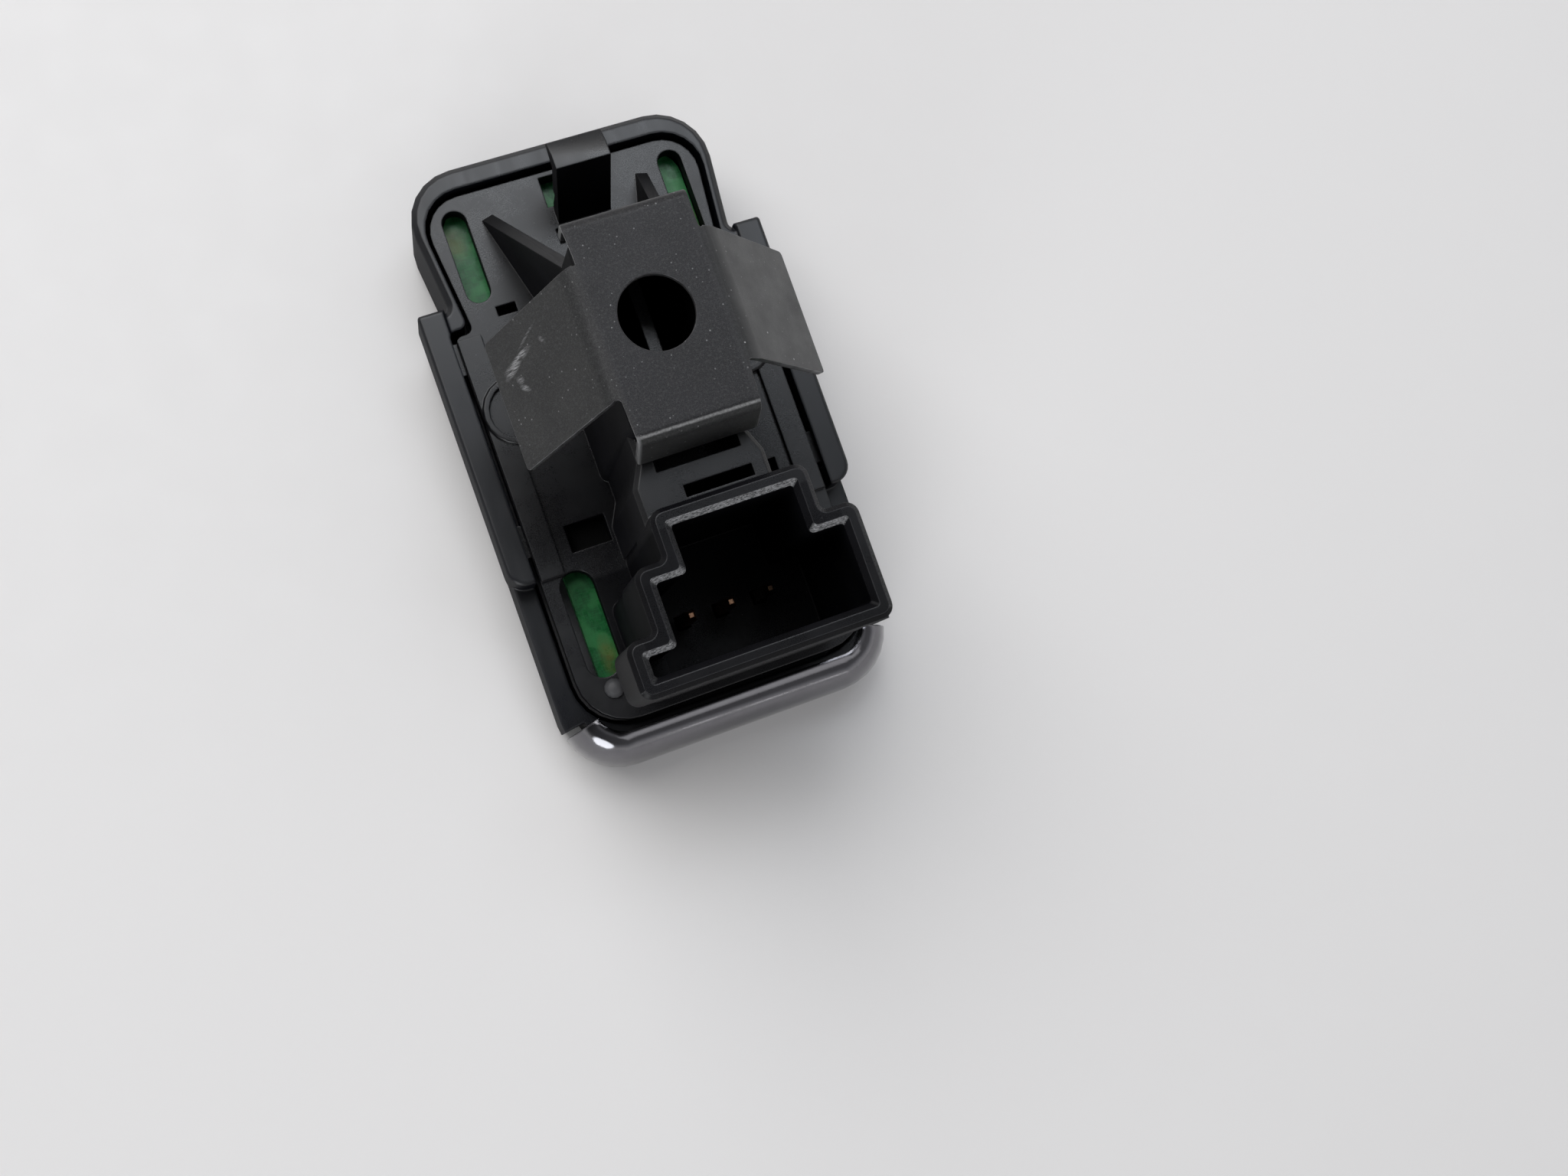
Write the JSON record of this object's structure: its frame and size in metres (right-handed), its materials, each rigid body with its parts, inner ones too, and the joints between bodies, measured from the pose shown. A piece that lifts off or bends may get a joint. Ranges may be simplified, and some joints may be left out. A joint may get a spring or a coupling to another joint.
{
  "type": "seat adjustment switch",
  "caption": "Seat adjustment switch: slim bezel with rocker keys, and behind it a moulded housing with a stepped plug socket, a hook tab and a spring steel retaining clip.",
  "frame": {"origin": "middle of the bezel's front face, under the centre of the whole part", "axes": "+Z out of the back, towards the plug; +Y towards the end with the hook tab; +X to the right seen from the back with the hook end up"},
  "size_m": [0.0218, 0.0372, 0.022],
  "materials": {
    "gloss_black": "polished black moulding",
    "bright_trim": "bright plated moulding",
    "moulded_black": "fine satin black moulding",
    "key_black": "soft satin black",
    "frame_grey": "plain grey moulding",
    "spring_steel": "dark coated spring steel with fine grain",
    "board_green": "green solder mask",
    "contact_copper": "bare copper alloy",
    "switch_steel": "stamped cover",
    "plunger_black": "plain black",
    "led_white": "clear resin over a pale body",
    "chip_black": "matt epoxy",
    "ceramic_tan": "plain ceramic"
  },
  "bodies": {
    "switch_body": {"front_bezel": "gloss_black", "chrome_trim": "bright_trim", "inner_frame": "frame_grey", "circuit_board": "board_green", "rear_housing": "moulded_black", "spring_clip": "spring_steel", "terminal_pin_1": "contact_copper", "terminal_pin_2": "contact_copper", "terminal_pin_3": "contact_copper", "travel_switch_a": "switch_steel", "travel_switch_b": "switch_steel", "recline_switch_a": "switch_steel", "recline_switch_b": "switch_steel", "travel_led": "led_white", "recline_led": "led_white", "controller_chip": "chip_black", "filter_capacitor": "ceramic_tan", "load_resistor_1": "chip_black", "load_resistor_2": "chip_black", "load_resistor_3": "chip_black"},
    "travel_rocker": {"travel_key": "key_black"},
    "recline_rocker": {"recline_key": "key_black"},
    "travel_stem_a": {"travel_plunger_a": "plunger_black"},
    "travel_stem_b": {"travel_plunger_b": "plunger_black"},
    "recline_stem_a": {"recline_plunger_a": "plunger_black"},
    "recline_stem_b": {"recline_plunger_b": "plunger_black"}
  },
  "joints": [
    {"name": "travel_key_rock", "type": "hinge", "parent": "switch_body", "child": "travel_rocker", "pos_m": [0, 0.0025, 0.002], "axis": [1, 0, 0], "range_deg": [-3.5, 3.5], "stiffness_Nm_per_rad": 0.05},
    {"name": "recline_key_rock", "type": "hinge", "parent": "switch_body", "child": "recline_rocker", "pos_m": [0, -0.0097, 0.002], "axis": [1, 0, 0], "range_deg": [-3.5, 3.5], "stiffness_Nm_per_rad": 0.05},
    {"name": "travel_stem_a_press", "type": "slide", "parent": "switch_body", "child": "travel_stem_a", "axis": [0, 0, 1], "range_m": [-0.0003, 0.0003]},
    {"name": "travel_stem_b_press", "type": "slide", "parent": "switch_body", "child": "travel_stem_b", "axis": [0, 0, 1], "range_m": [-0.0003, 0.0003]},
    {"name": "recline_stem_a_press", "type": "slide", "parent": "switch_body", "child": "recline_stem_a", "axis": [0, 0, 1], "range_m": [-0.0003, 0.0003]},
    {"name": "recline_stem_b_press", "type": "slide", "parent": "switch_body", "child": "recline_stem_b", "axis": [0, 0, 1], "range_m": [-0.0003, 0.0003]}
  ],
  "couplings": [
    {"joint": "travel_stem_a_press", "follows": "travel_key_rock", "m_per_rad": 0.0039},
    {"joint": "travel_stem_b_press", "follows": "travel_key_rock", "m_per_rad": -0.0039},
    {"joint": "recline_stem_a_press", "follows": "recline_key_rock", "m_per_rad": 0.0039},
    {"joint": "recline_stem_b_press", "follows": "recline_key_rock", "m_per_rad": -0.0039}
  ]
}
